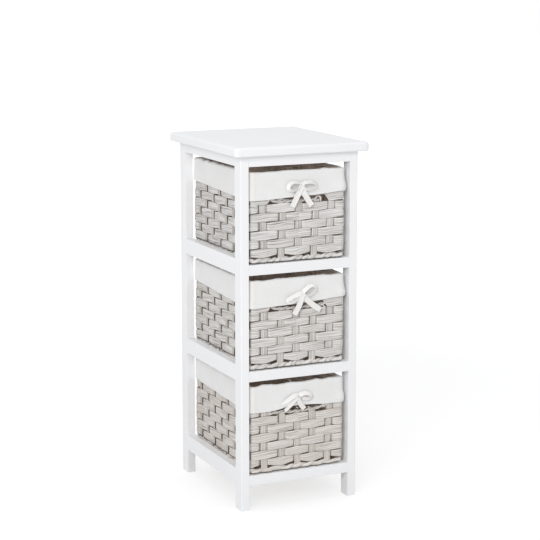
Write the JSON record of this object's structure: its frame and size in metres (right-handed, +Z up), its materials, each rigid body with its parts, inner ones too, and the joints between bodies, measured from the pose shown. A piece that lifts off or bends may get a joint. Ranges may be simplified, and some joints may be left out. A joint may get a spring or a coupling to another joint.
{
  "type": "basket cabinet",
  "caption": "Small freestanding white-lacquered cabinet on post legs, with cotton-trimmed woven pull-out baskets stacked in open bays under a board top.",
  "frame": {"origin": "on the floor, under the middle of the cabinet", "axes": "+Z up, -Y the front where the baskets pull out, +X to the right as seen from the front"},
  "size_m": [0.25, 0.3, 0.63],
  "materials": {
    "white_lacquer": "satin white lacquer on solid timber",
    "shelf_board": "thin hardboard, white above and raw brown below",
    "beech": "plain turned beech",
    "zinc_steel": "zinc plated",
    "grey_weave": "plain weave of washed grey natural fibre strands",
    "rim_willow": "bare brown willow rod",
    "cotton_cuff": "plain woven off-white cotton",
    "cotton_ribbon": "cream cotton tape"
  },
  "bodies": {
    "cabinet": {"top_board": "white_lacquer", "front_left_post": "white_lacquer", "front_right_post": "white_lacquer", "rear_left_post": "white_lacquer", "rear_right_post": "white_lacquer", "front_bottom_rail": "white_lacquer", "rear_bottom_rail": "white_lacquer", "left_bottom_rail": "white_lacquer", "right_bottom_rail": "white_lacquer", "front_lower_rail": "white_lacquer", "rear_lower_rail": "white_lacquer", "left_lower_rail": "white_lacquer", "right_lower_rail": "white_lacquer", "front_upper_rail": "white_lacquer", "rear_upper_rail": "white_lacquer", "left_upper_rail": "white_lacquer", "right_upper_rail": "white_lacquer", "front_top_rail": "white_lacquer", "rear_top_rail": "white_lacquer", "left_top_rail": "white_lacquer", "right_top_rail": "white_lacquer", "bottom_shelf": "shelf_board", "lower_shelf": "shelf_board", "upper_shelf": "shelf_board", "frame_dowels": "beech", "top_board_screws": "zinc_steel"},
    "lower_basket": {"lower_basket_wall": "grey_weave", "lower_basket_border": "grey_weave", "lower_basket_base": "grey_weave", "lower_basket_rim_rod": "rim_willow", "lower_basket_cuff": "cotton_cuff", "lower_basket_bow": "cotton_ribbon"},
    "middle_basket": {"middle_basket_wall": "grey_weave", "middle_basket_border": "grey_weave", "middle_basket_base": "grey_weave", "middle_basket_rim_rod": "rim_willow", "middle_basket_cuff": "cotton_cuff", "middle_basket_bow": "cotton_ribbon"},
    "upper_basket": {"upper_basket_wall": "grey_weave", "upper_basket_border": "grey_weave", "upper_basket_base": "grey_weave", "upper_basket_rim_rod": "rim_willow", "upper_basket_cuff": "cotton_cuff", "upper_basket_bow": "cotton_ribbon"}
  },
  "joints": [
    {"name": "lower_basket_slide", "type": "slide", "parent": "cabinet", "child": "lower_basket", "axis": [0, -1, 0], "range_m": [0, 0.19]},
    {"name": "middle_basket_slide", "type": "slide", "parent": "cabinet", "child": "middle_basket", "axis": [0, -1, 0], "range_m": [0, 0.19]},
    {"name": "upper_basket_slide", "type": "slide", "parent": "cabinet", "child": "upper_basket", "axis": [0, -1, 0], "range_m": [0, 0.19]}
  ]
}
